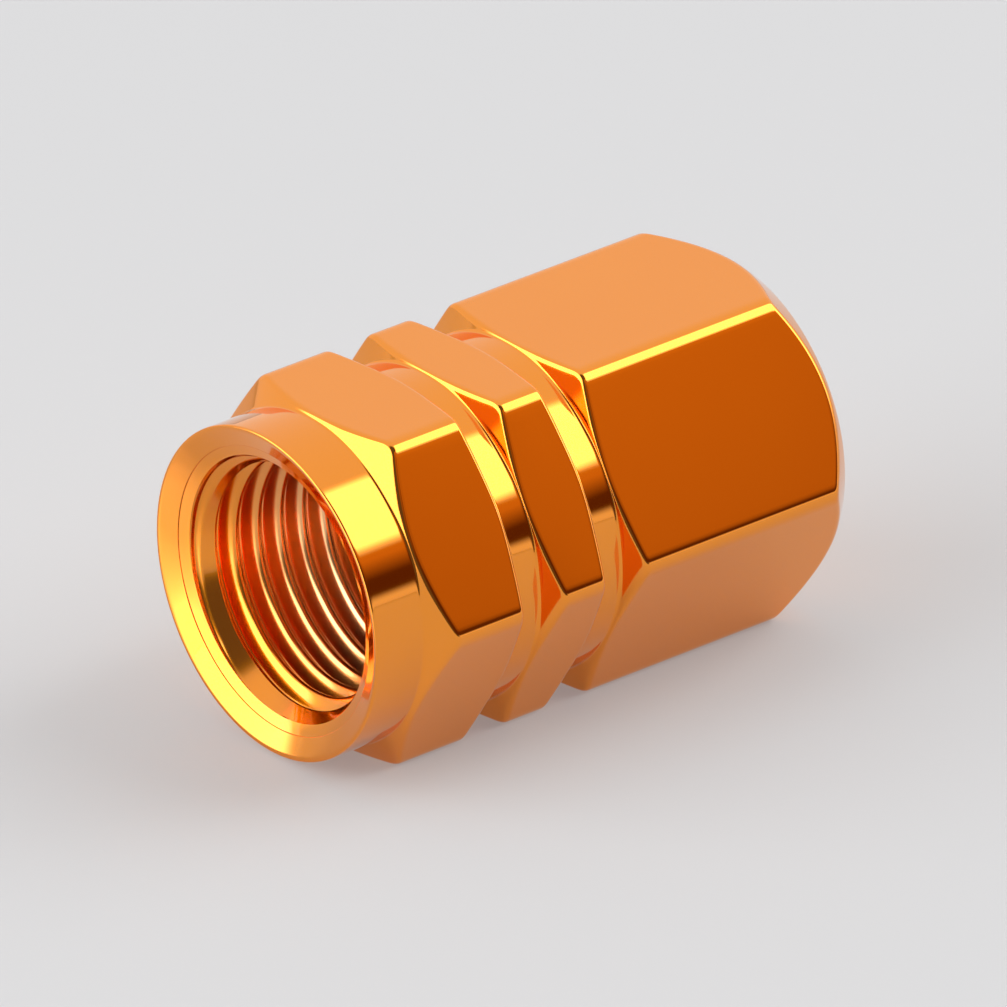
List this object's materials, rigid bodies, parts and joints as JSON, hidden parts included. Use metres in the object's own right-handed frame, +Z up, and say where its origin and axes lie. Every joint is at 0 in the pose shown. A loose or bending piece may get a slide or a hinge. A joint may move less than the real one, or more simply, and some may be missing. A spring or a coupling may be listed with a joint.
{
  "type": "tyre valve cap",
  "caption": "Hexagonal aluminium tyre valve cap with turned bands, a round collar at its threaded mouth and a rubber sealing washer inside its blind bore.",
  "frame": {"origin": "on the ground, under the middle of the cap's length and width, where its lowest flat lies", "axes": "-Y along the bore and out of its mouth, +Y towards the closed end, +Z up out of the uppermost flat, X across the corners"},
  "size_m": [0.0114, 0.0168, 0.01],
  "materials": {
    "anodised_cap": "bright orange-gold anodised, mirror polished",
    "washer_rubber": "matt black rubber"
  },
  "bodies": {
    "root": {"cap_body": "anodised_cap", "sealing_washer": "washer_rubber"}
  },
  "joints": []
}
